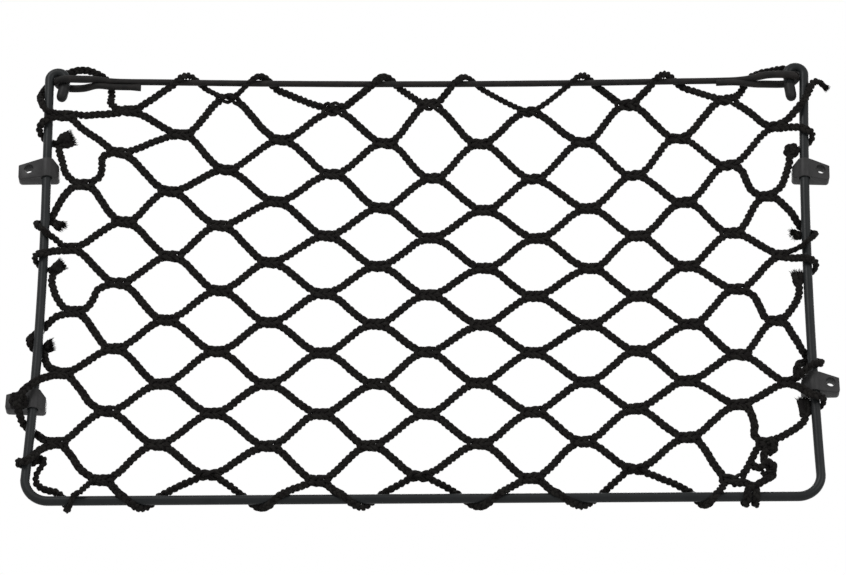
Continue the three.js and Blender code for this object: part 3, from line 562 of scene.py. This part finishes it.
def edge_strands():
    """The ropes' ends along the side wires: (guides, the length and width of the fan at a cut end)."""
    return [
        # left side, from the hook down
        ([at(-130.3, 82), at(-134.5, 82), at(-138.3, 86, -1.5), at(-138.2, 91, -3.9), at(-139, 95.5, -4.3),
          at(-141.5, 99.8, -4.3), at(-145.7, 102.6, -4.2), at(-150.3, 104.2, -4.2), at(-155.5, 103.6, -4.2),
          at(-160.5, 101.6, -4.3), *side_lap(LEFT, (180, 97.5), (90, 88.2), (15, 80.2)), at(-162.4, 79, 3.6),
          at(-158.8, 78.9, 2.2)], None),
        ([at(-158.8, 77.1, 2.2), at(-161.6, 77.2, 3), *side_lap(LEFT, (-20, 76.6), (90, 72), (225, 66.6)),
          at(-160.8, 66, -1.2), at(-155.2, 68.2)], (7, 8)),
        ([at(-149.8, 45.8), at(-152.8, 46.4), at(-155.5, 48.5), at(-157.5, 51.5), at(-158.9, 56.5),
          at(-160.4, 62, -0.4), at(-160.8, 65.2, -1.2)], None),
        ([at(-149.8, 44), at(-153.2, 43.8), at(-156.3, 41), at(-159.2, 36), at(-161.4, 32.3, -1.6),
          *side_lap(LEFT, (225, 29.8), (90, 25.6), (0, 20.8), (-25, 19.4)), at(-160.6, 17.6, 1.4),
          at(-157.5, 15.2), at(-154.5, 14.5)], None),
        ([at(-165.5, 30.4, -4.3), at(-162.2, 28, -2.8), at(-158, 24.6)], (4, 5.5)),
        ([at(-154.5, 12.7), at(-159, 12.3, 0.6), at(-161.8, 11.2, 2.4),
          *side_lap(LEFT, (-20, 9.8), (90, 8.9), (225, 4.6)), at(-161, 3.6, -1.2),
          at(-157.4, 6, -0.2)], (6, 8)),
        ([at(-151.9, -15.9), at(-154.9, -15.2), at(-156.8, -13.5), at(-158.6, -10.8), at(-160.3, -7),
          at(-161.4, -2), at(-160.6, 3.4, -1.2)], None),
        ([at(-151.9, -17.7), at(-156, -18), at(-159.2, -19.2, -0.4), at(-161.6, -20.8, -1.8),
          *side_lap(LEFT, (225, -22.4), (147, -26.2), (95, -30.2), (147, -33), (225, -36.2)),
          at(-163.2, -39, -2.4), at(-161.2, -43, -0.4), at(-155.9, -45.2)], None),
        ([at(-168.4, -32.6, -3.6), at(-165.6, -32.2, -4.2), at(-163, -32.3, -2.8),
          at(-160.9, -32.4, -1)], (3.5, 6)),
        ([at(-155.9, -47), at(-159.4, -47.4, 0.6), at(-163.6, -50, 3.4), at(-167.8, -53.4, 5.2),
          at(-171.8, -57.2, 5.6), at(-173.8, -61, 5.2), at(-173.4, -64.4, 3.8), at(-172.8, -66.6, 1.6),
          at(-172.2, -68, -0.6), at(-170.9, -69.4, -2.9), at(-168.4, -71.2, -4.2), at(-164.9, -73.8, -3.2),
          at(-161.8, -76.8, -0.8), at(-157.3, -77.7)], None),
        ([at(-170.6, -60.6, 4), at(-172.3, -63, 3.2), at(-175.2, -62.2, 2.6), at(-175.8, -58.6, 3.2),
          at(-172.3, -57.6, 3.4), at(-171.6, -60.2, 2.8), at(-174, -60.4, 4.2)], None),
        ([at(-157.3, -79.5), at(-160.6, -80.4), at(-163.4, -82.4, 1.4),
          *side_lap(LEFT, (-35, -86.6), (0, -88.6), (90, -87.8), (225, -86)), at(-163.4, -85.2, -1.6),
          at(-161.9, -86.8, -0.8), at(-163.2, -89.4, -0.8),
          at(-165.2, -93.6, -0.6), at(-164.6, -97.6, -0.4), at(-161.2, -99.9, -0.8),
          at(-156.4, -100.6, -2.4), *bottom_lap(-153.4, -148.6, 225, -25), at(-146.4, -103.2, 3.9),
          at(-143.4, -99.2, 1.6), at(-140.4, -95.9, 0.4), at(-137.3, -95.6)], None),
        # right side, from the hook down
        ([at(132.5, 85.8), at(136, 86.4), at(139.2, 88.8, -2.6), at(141.6, 93, -4.3), at(144.8, 98.2, -4.3),
          at(149.6, 100.4, -4.2), at(154.6, 101.6, -4.2), at(160.2, 102.8, -4.3), at(164.6, 102, -4.3),
          at(167.4, 98, -4.3)], None),
        ([at(155.8, 72.4), at(158.9, 73.6, 0.4), at(161.8, 76, 1.8), at(164.3, 78.6, 3.2),
          at(166.4, 80.9, 4.3), at(168, 83.2, 4.4), at(169.9, 87.4, 3.7), at(171.4, 91.2, 2.6),
          at(173.4, 93.4, 1.4), at(175.4, 93.2, 0.6), at(177.8, 90.8, 0.2)], (3, 4)),
        ([at(155.8, 70.6), at(159.6, 70.6, 0.6), at(162.4, 70, 2),
          *side_lap(RIGHT, (-30, 69.2), (0, 68.2), (90, 66.6), (225, 61.4)), at(161.8, 58.6, -1.6)], None),
        ([at(150.2, 37.9), at(153, 39.2), at(156.4, 42.6), at(158.7, 49), at(160.3, 53.6),
          at(160.6, 56.4), at(163.4, 58.4, 0.8), at(162.2, 61, 1), at(159.4, 60),
          at(160, 57.4, -1.2), at(161.8, 58.8, 1.8)], None),
        ([at(150.2, 36.1), at(153.6, 35.8), at(156.8, 32.8), at(160.3, 28.3), at(162, 26, -1.4),
          *side_lap(RIGHT, (225, 24.2), (147, 20.5), (90, 18.2), (30, 14.8), (-25, 11.6)),
          at(160.6, 10.4, 1.2), at(155.7, 9.1)], None),
        ([at(165.9, 20, -4.3), at(163.4, 19.4, -3), at(160.6, 18.8, -0.8)], (4, 6)),
        ([at(155.7, 7.3), at(160, 6.6, 0.6), at(162.4, 5.8, 2.2),
          *side_lap(RIGHT, (-30, 5.2), (0, 4.6), (90, 3.2), (225, -1.4)), at(162, -3.6, -1.4)], None),
        ([at(151.8, -22.3), at(155, -21.6), at(157.8, -18), at(159.9, -14.6), at(161.3, -10.6, -0.4),
          at(161.7, -6.6, -0.8), at(160.6, -0.6, -0.2)], (6, 6.4)),
        ([at(151.8, -24.1), at(154.8, -24.8), at(157.4, -29.2), at(160.2, -34.4), at(161.8, -37, -1.6),
          *side_lap(RIGHT, (225, -38.4), (90, -43.4), (25, -45.2)), at(164.8, -46.6, 5),
          at(162.2, -48.6, 4.4), at(159.2, -50.8, 1.6), at(155.7, -51.4)], None),
        ([at(155.7, -53.2), at(158.4, -54.4, 0.8), at(160.8, -57, 2.8), at(163.4, -59.6, 4.2),
          at(166, -60.9, 4.6), *side_lap(RIGHT, (40, -61), (90, -61.2), (225, -65)),
          at(161.9, -67, -1.2)], None),
        ([at(168.9, -41.6, -3), at(165.8, -41.4, -4.3), at(162.4, -42, -3), at(159.8, -44, -1),
          at(159.2, -49.4)], (5, 4.6)),
        ([at(145.4, -79.7), at(149.7, -78.4), at(155, -75.3), at(159.4, -72.4), at(161.4, -69.8, -0.4),
          at(161.6, -66, -1.2), at(161, -60.6, -0.4)], (9, 7)),
        # the knotted end at the lower right corner
        ([at(145.6, -81.5), at(143.4, -85.6, 0.5), at(143.2, -89.4, 0.8), at(145.4, -92.9, 0.8),
          at(146.4, -95.4, 0.6), at(142.4, -99.4, 3.2), *bottom_lap(135.6, 133.9, -35, 200)], None),
        ([at(129.1, -99.2), at(132.4, -99.4, 0.8), at(135.6, -100.2, 2.2),
          *bottom_lap(139, 138.6, -35, 200)], None),
        ([at(138, -91), at(141, -92.4, 0.6), at(144.6, -90.4, 2.4), at(147.2, -93, 1.6),
          at(144.2, -95, 0.2), at(141.8, -93.8, -1.4)], None),
        ([at(144.6, -80.4, 1.6), at(147.4, -81, 1.8), at(147.6, -84, 1.2), at(145.4, -85.4, 0.6),
          at(146.8, -82.6, -0.6)], None),
    ]


NET_BANDS = dict(
    net_top_band=range(0, 3),
    net_upper_band=range(3, 6),
    net_lower_band=range(6, 9),
    net_bottom_band=range(9, 12),
)


def make_net(material):
    """The net in bands of rows, its two border ropes and its laced ends."""
    fibres = Tubes()
    borders = Tubes()
    top_turns = [top_loop(x) for x in TOP_LOOPS]
    bottom_turns = [bottom_turn(*places) for places in BOTTOM_LAPS]
    for row, above, turns in ((0, 1, top_turns), (len(ROWS) - 1, -1, bottom_turns)):
        plait(borders, fibres, *laced_rope(row, above, turns), across=UP)
    lacing = Tubes()
    for guides, end in edge_strands():
        plait(lacing, fibres, guides, end=end)
    laced = [
        borders.make("net_border_ropes", material),
        lacing.make("net_laced_ends", material),
        fibres.make("net_cut_fibres", material),
    ]
    for name, rows in NET_BANDS.items():
        tubes = Tubes()
        area = sum(plait(tubes, fibres, *inner_rope(row), across=UP) for row in rows)
        band = tubes.make(name, material)
        laced = []
        if name == "net_top_band":
            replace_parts(band, "net")


# ---------------------------------------------------------------- wire, elastic and clips

def arc(centre_x, centre_z, radius, start, end, step=6):
    steps = max(1, round(abs(end - start) / step))
    angles = np.radians(np.linspace(start, end, steps + 1))
    return [at(centre_x + radius * math.cos(a), centre_z + radius * math.sin(a)) for a in angles]


def hook_centre(side):
    facts = SIDES[side]
    return side * (facts["top_x"] - WIRE["hook"]), facts["crown"] - WIRE["hook"]


def peg(side):
    """(the foot of a peg, the direction up its axis)."""
    facts = SIDES[side]
    x, z = hook_centre(side)
    top = at(x - side * WIRE["hook"], z)
    foot = at(top[0] + side * facts["splay"], facts["peg_end"])
    return foot, unit(top - foot)


def side_route(side):
    """A side wire between its hook and its bottom corner, from the top down, with the bend of the corner."""
    corner = WIRE["corner"]
    corner_z = WIRE["bottom"] + corner
    lean = -side * wire_lean(side, corner_z)
    end_z = corner_z - corner * math.sin(lean)
    heights = np.linspace(hook_centre(side)[1], end_z, 40)[1:-1]
    centre_x = wire_x(side, end_z) - side * corner * math.cos(lean)
    outwards = 180 if side == LEFT else 360
    start = outwards - side * math.degrees(lean)
    return [*(at(wire_x(side, z), z) for z in heights), *arc(centre_x, corner_z, corner, start, 270)]


def wire_route():
    return np.array([
        peg(LEFT)[0],
        *arc(*hook_centre(LEFT), WIRE["hook"], 0, 180),
        *side_route(LEFT),
        *side_route(RIGHT)[::-1],
        *arc(*hook_centre(RIGHT), WIRE["hook"], 0, 180),
        peg(RIGHT)[0],
    ])


def evenly(points, step):
    """The same polyline with extra points, none further apart than the step."""
    out = [points[0]]
    for a, b in zip(points, points[1:]):
        n = max(1, math.ceil(np.linalg.norm(b - a) / step))
        out += [lerp(a, b, (i + 1) / n) for i in range(n)]
    return np.array(out)


def make_wire(material, tip_material):
    path = evenly(wire_route(), 6)
    side, front = travelling_axes(path, np.array([1.0, 0, 0]))
    wire = Tubes()
    rings = rings_along(path, side, front, WIRE["radius"], WIRE["radius"], WIRE["sides"])
    wire.add(rings, lengths_along(path))
    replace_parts(wire.make("wire_body", material), "frame_wire")
    for name, sign in (("peg_tip_left", LEFT), ("peg_tip_right", RIGHT)):
        foot, up = peg(sign)
        heights, radii = (np.array(column) for column in zip(*PEG_TIP))
        places = foot + up * heights[:, None]
        n = len(PEG_TIP)
        across = np.repeat([np.cross(up, FRONT)], n, axis=0)
        tip = Tubes()
        tip.add(rings_along(places, across, np.tile(FRONT, (n, 1)), radii, radii, WIRE["sides"]), heights)
        tip.make(name, tip_material)


def elastic_loop(side, tail):
    """One end of the elastic, from the net plane past the front of its peg, round it and back to its tail."""
    loop = ELASTIC["loop"]
    foot, up = peg(side)
    peg_x = side * (foot[0] + (loop - foot[2]) * up[0] / up[2])
    around = WIRE["radius"] + ELASTIC["radius"] + ELASTIC["clear"]
    between = (peg_x + abs(wire_x(side, loop))) / 2
    below, behind = ELASTIC["tail_below"][side], ELASTIC["tail_behind"][side]

    def tail_height(x):
        return elastic_height(side * x) - below

    return [
        at(side * 145, elastic_height(side * 145), 1.4),
        at(side * 152, loop + 0.4, 2.9),
        at(side * (peg_x - 1.5), loop + 0.1, around),
        at(side * (peg_x + around * 0.6), loop, around * 0.8),
        at(side * between, loop),
        at(side * (peg_x + around * 0.6), loop - 0.1, -around * 0.8),
        at(side * (peg_x - 1.5), loop - 0.6, -around),
        at(side * 151, loop - 1.2, -around * 0.7),
        at(side * 145, elastic_height(side * 145) - 2.4, -behind * 0.2),
        at(side * 138, tail_height(138), -behind),
        at(side * tail, tail_height(tail), -behind),
    ]


def make_elastic(material):
    run = [at(x, elastic_height(x)) for x in np.linspace(-ELASTIC["reach"], ELASTIC["reach"], 11)]
    left = elastic_loop(LEFT, ELASTIC["left_tail"])[::-1]
    points, along, _ = smooth_path([*left, *run, *elastic_loop(RIGHT, ELASTIC["right_tail"])], 0.8)
    side, front = travelling_axes(points, UP)
    opened = eased(1 - along / ELASTIC["frayed"])
    past = (np.abs(points[:, 0]) - ELASTIC["swollen_from"]) / ELASTIC["swollen_over"]
    radii = ELASTIC["radius"] * (1 + ELASTIC["swollen"] * eased(past) + ELASTIC["uneven"] * waves(along))
    wide = radii * (1 + ELASTIC["fray_wider"] * opened)
    thick = radii * (1 - ELASTIC["fray_thinner"] * opened)
    tubes = Tubes()
    tubes.add(rings_along(points, side, front, wide, thick, ELASTIC["sides"]), along)
    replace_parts(tubes.make("elastic_cover", material), "top_elastic")


def prism(name, outline, axis, low, high):
    """A solid object from an outline in two coordinates, drawn along the third."""
    def corner(pair, level):
        a, b = pair
        return {"y": (a, level, b), "z": (a, b, level)}[axis]
    n = len(outline)
    vertices = [corner(p, low) for p in outline] + [corner(p, high) for p in outline]
    faces = [list(range(n))[::-1], list(range(n, 2 * n))]
    faces += [[i, (i + 1) % n, n + (i + 1) % n, n + i] for i in range(n)]
    mesh = bpy.data.meshes.new(name)
    mesh.from_pydata(vertices, [], faces)
    obj = bpy.data.objects.new(name, mesh)
    bpy.context.scene.collection.objects.link(obj)
    edited(mesh, lambda work: bmesh.ops.recalc_face_normals(work, faces=work.faces))
    return obj


def edited(mesh, change):
    work = bmesh.new()
    work.from_mesh(mesh)
    change(work)
    work.to_mesh(mesh)
    work.free()


def combined(obj, other, operation):
    modifier = obj.modifiers.new("combine", "BOOLEAN")
    modifier.operation = operation
    modifier.object = other
    modifier.solver = "EXACT"
    applied(obj)
    bpy.data.objects.remove(other)


def applied(obj):
    """Replaces an object's mesh with what its modifiers make of it."""
    graph = bpy.context.evaluated_depsgraph_get()
    mesh = bpy.data.meshes.new_from_object(obj.evaluated_get(graph))
    obj.modifiers.clear()
    obj.data = mesh


def turn_points(centre_x, centre_y, radius, start, end, steps):
    angles = [math.radians(lerp(start, end, i / steps)) for i in range(steps + 1)]
    return [(centre_x + radius * math.cos(a), centre_y + radius * math.sin(a)) for a in angles]


def clip_section(outboard):
    """The clip across its wire, in x and y: thickest at the saddle, with a ramp down to either edge."""
    c = CLIP
    meet = math.degrees(math.asin((c["ramp_depth"] + PLANE) / c["saddle"]))
    return [
        (-c["inboard"], 0), (-c["inboard"], -c["inner_depth"]),
        *turn_points(0, PLANE, c["saddle"], 180 + meet, 360 - meet, 18),
        (outboard, -c["outer_depth"]), (outboard, 0),
    ]


def clip_outline(outboard):
    """The clip from the front, in x and z, with its screw tab towards +X."""
    c = CLIP
    return [
        *turn_points(outboard - c["corner"], -c["below"] + c["corner"], c["corner"], -90, 0, 8),
        (outboard, c["shoulder"]), (c["crown"], c["peak"]), (-c["crown"], c["peak"]),
        (-c["inboard"], c["inner_shoulder"]),
        *turn_points(-c["inboard"] + c["corner"], -c["below"] + c["corner"], c["corner"], 180, 270, 8),
    ]


def make_clip(node, side, z, outboard, hole_out, material):
    c = CLIP
    body = prism(node + "_moulding", clip_section(outboard), "z", -c["below"] - 1, c["peak"] + 1)
    combined(body, prism("outline", clip_outline(outboard), "y", -12, 1), "INTERSECT")
    bore = turn_points(0, PLANE, c["bore"], 0, 360, 40)[:-1]
    combined(body, prism("bore", bore, "z", -12, 12), "DIFFERENCE")
    hole = turn_points(hole_out, c["hole_up"], c["hole"], 0, 360, 40)[:-1]
    combined(body, prism("hole", hole, "y", -12, 1), "DIFFERENCE")
    bevel = body.modifiers.new("edges", "BEVEL")
    bevel.width = c["edge"]
    bevel.segments = 3
    bevel.limit_method = "ANGLE"
    bevel.angle_limit = math.radians(35)
    bevel.use_clamp_overlap = True
    applied(body)
    turned = Matrix.Rotation(wire_lean(side, z), 4, "Y") @ Matrix.Diagonal((side, 1, 1, 1))
    body.data.transform(Matrix.Translation((wire_x(side, z), 0, z)) @ turned)
    body.data.transform(Matrix.Scale(MM, 4))
    if side == LEFT:
        body.data.flip_normals()
    body.data.polygons.foreach_set("use_smooth", [True] * len(body.data.polygons))
    edited(body.data, sharp_where_folded)
    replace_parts(placed(body, material), node)


def sharp_where_folded(work, degrees=40):
    for edge in work.edges:
        edge.smooth = len(edge.link_faces) == 2 and edge.calc_face_angle(0) < math.radians(degrees)


# ---------------------------------------------------------------- materials

def new_material(name, color, roughness, specular):
    material = bpy.data.materials.new(name)
    material.use_nodes = True
    shader = material.node_tree.nodes["Principled BSDF"]
    shader.inputs["Base Color"].default_value = (*color, 1)
    shader.inputs["Roughness"].default_value = roughness
    shader.inputs["Specular IOR Level"].default_value = specular
    return material, material.node_tree, shader


def node(tree, kind, **inputs):
    made = tree.nodes.new(kind)
    for name, value in inputs.items():
        made.inputs[name.replace("_", " ")].default_value = value
    return made


def calculated(tree, operation, first, second=None):
    """The output of a math node. Its inputs are numbers or other nodes' outputs."""
    made = tree.nodes.new("ShaderNodeMath")
    made.operation = operation
    for socket, value in zip(made.inputs, (first, second)):
        if isinstance(value, (int, float)):
            socket.default_value = value
        elif value is not None:
            tree.links.new(value, socket)
    return made.outputs[0]


def noise(tree, scale, detail=3.0):
    """Noise on the object's own coordinates. scale is in features for each metre."""
    coordinates = tree.nodes.new("ShaderNodeTexCoord")
    texture = node(tree, "ShaderNodeTexNoise", Scale=scale, Detail=detail)
    tree.links.new(coordinates.outputs["Object"], texture.inputs["Vector"])
    return texture.outputs["Fac"]


def mixed_color(tree, shader, factor, dark, light, low=0.35, high=0.65):
    ramp = tree.nodes.new("ShaderNodeValToRGB")
    ramp.color_ramp.elements[0].position = low
    ramp.color_ramp.elements[1].position = high
    ramp.color_ramp.elements[0].color = (*dark, 1)
    ramp.color_ramp.elements[1].color = (*light, 1)
    tree.links.new(factor, ramp.inputs["Fac"])
    tree.links.new(ramp.outputs["Color"], shader.inputs["Base Color"])


def bumped(tree, shader, heights, distance):
    """Bump from a list of (height, share)."""
    total = 0.0
    for height, share in heights:
        total = calculated(tree, "ADD", total, calculated(tree, "MULTIPLY", height, share))
    bump = node(tree, "ShaderNodeBump", Strength=1.0, Distance=distance)
    tree.links.new(total, bump.inputs["Height"])
    tree.links.new(bump.outputs["Normal"], shader.inputs["Normal"])


def yarn_waves(tree, along, around):
    """Fine filaments that wind round a strand: waves for each millimetre along and each turn round."""
    uv = tree.nodes.new("ShaderNodeUVMap")
    uv.uv_map = "yarn"
    split = tree.nodes.new("ShaderNodeSeparateXYZ")
    tree.links.new(uv.outputs["UV"], split.inputs[0])
    lengthwise = calculated(tree, "MULTIPLY", split.outputs["X"], 2 * math.pi * along)
    roundwise = calculated(tree, "MULTIPLY", split.outputs["Y"], 2 * math.pi * around)
    return calculated(tree, "SINE", calculated(tree, "ADD", lengthwise, roundwise))


def rope_material():
    material, tree, shader = new_material("net_cord", (0.008, 0.007, 0.006), 0.85, 0.08)
    mixed_color(tree, shader, noise(tree, 420, 4), (0.0042, 0.0034, 0.0034), (0.0105, 0.0098, 0.0088))
    bumped(tree, shader, [(yarn_waves(tree, 0.9, 6), 0.5), (noise(tree, 6000, 2), 0.7)], 0.00008)
    return material


def wire_material():
    material, tree, shader = new_material("coated_wire", (0.02, 0.024, 0.025), 0.4, 0.12)
    mixed_color(tree, shader, noise(tree, 90, 5), (0.0085, 0.0096, 0.0102), (0.0122, 0.0135, 0.0140))
    bumped(tree, shader, [(noise(tree, 1500, 3), 1.0), (noise(tree, 160, 2), 1.5)], 0.00004)
    return material


def tip_material():
    material, tree, shader = new_material("peg_tip", (0.016, 0.016, 0.016), 0.5, 0.12)
    mixed_color(tree, shader, noise(tree, 500, 4), (0.0085, 0.0085, 0.0088), (0.0125, 0.0122, 0.012))
    bumped(tree, shader, [(noise(tree, 1800, 3), 1.0)], 0.00005)
    return material


def clip_material():
    material, tree, shader = new_material("clip_plastic", (0.025, 0.025, 0.026), 0.5, 0.15)
    mixed_color(tree, shader, noise(tree, 240, 5), (0.0172, 0.0168, 0.0172), (0.0220, 0.0215, 0.0218))
    bumped(tree, shader, [(noise(tree, 3200, 2), 1.0)], 0.00003)
    return material


def elastic_material():
    material, tree, shader = new_material("elastic_cover", (0.015, 0.014, 0.014), 0.6, 0.1)
    mixed_color(tree, shader, noise(tree, 260, 4), (0.0075, 0.0073, 0.0072), (0.0130, 0.0115, 0.0108))
    weave = [(yarn_waves(tree, 1.6, 8), 0.5), (yarn_waves(tree, 1.6, -8), 0.5), (noise(tree, 5000, 2), 0.3)]
    bumped(tree, shader, weave, 0.00005)
    return material


# ---------------------------------------------------------------- camera, light and floor

def make_camera():
    """Looks up at the net from 26 degrees below, as a long lens does from 1.8 m."""
    target = Vector((-0.9, 0, -3.2)) * MM
    distance, elevation, roll = 1.799, math.radians(-26), math.radians(-0.36)
    data = bpy.data.cameras.new("camera")
    data.sensor_width = 36
    data.lens = 176.4
    camera = bpy.data.objects.new("camera", data)
    bpy.context.scene.collection.objects.link(camera)
    back = Vector((0, -math.cos(elevation), math.sin(elevation)))
    camera.location = target + back * distance
    turned = (-back).to_track_quat("-Z", "Y").to_matrix() @ Matrix.Rotation(roll, 3, "Z")
    camera.rotation_euler = turned.to_euler()
    bpy.context.scene.camera = camera


def make_light(name, place, size, watts):
    data = bpy.data.lights.new(name, "AREA")
    data.shape = "DISK"
    data.size = size
    data.energy = watts
    light = bpy.data.objects.new(name, data)
    bpy.context.scene.collection.objects.link(light)
    light.location = place
    light.rotation_euler = (-Vector(place)).to_track_quat("-Z", "Y").to_euler()


def seen_white(tree):
    """1 for rays from the camera, off gloss and through glass, and 0 for the rest."""
    path = tree.nodes.new("ShaderNodeLightPath")
    glossy = calculated(tree, "MAXIMUM", path.outputs["Is Camera Ray"], path.outputs["Is Glossy Ray"])
    return calculated(tree, "MAXIMUM", glossy, path.outputs["Is Transmission Ray"])


def make_world(ambient):
    world = bpy.data.worlds.new("studio")
    bpy.context.scene.world = world
    world.use_nodes = True
    tree = world.node_tree
    soft = tree.nodes["Background"]
    soft.inputs["Color"].default_value = (1, 1, 1, 1)
    soft.inputs["Strength"].default_value = ambient
    white = tree.nodes.new("ShaderNodeBackground")
    white.inputs["Color"].default_value = (1, 1, 1, 1)
    choice = tree.nodes.new("ShaderNodeMixShader")
    tree.links.new(seen_white(tree), choice.inputs["Fac"])
    tree.links.new(soft.outputs[0], choice.inputs[1])
    tree.links.new(white.outputs[0], choice.inputs[2])
    tree.links.new(choice.outputs[0], tree.nodes["World Output"].inputs["Surface"])


def make_floor(height, half):
    mesh = bpy.data.meshes.new("floor")
    corners = [(-half, -half, height), (half, -half, height), (half, half, height), (-half, half, height)]
    mesh.from_pydata(corners, [], [(0, 1, 2, 3)])
    floor = bpy.data.objects.new("floor", mesh)
    bpy.context.scene.collection.objects.link(floor)
    material, tree, shader = new_material("floor", (0.86, 0.86, 0.86), 0.8, 0.2)
    mixed_color(tree, shader, noise(tree, 3, 3), (0.85, 0.85, 0.85), (0.88, 0.88, 0.88))
    mesh.materials.append(material)


make_camera()
make_world(0.75)
make_light("key", (-0.9, -1.5, 1.3), 0.8, 26)
make_light("fill", (1.3, -1.4, 0.2), 1.0, 12)
make_light("back", (0.3, 1.5, 0.9), 1.0, 14)
make_floor(-1.0, 6)

make_wire(wire_material(), tip_material())
make_elastic(elastic_material())
clip_plastic = clip_material()
for clip_node, facts in CLIPS.items():
    make_clip(clip_node, **facts, material=clip_plastic)
make_net(rope_material())

bpy.context.scene.view_settings.view_transform = "Standard"
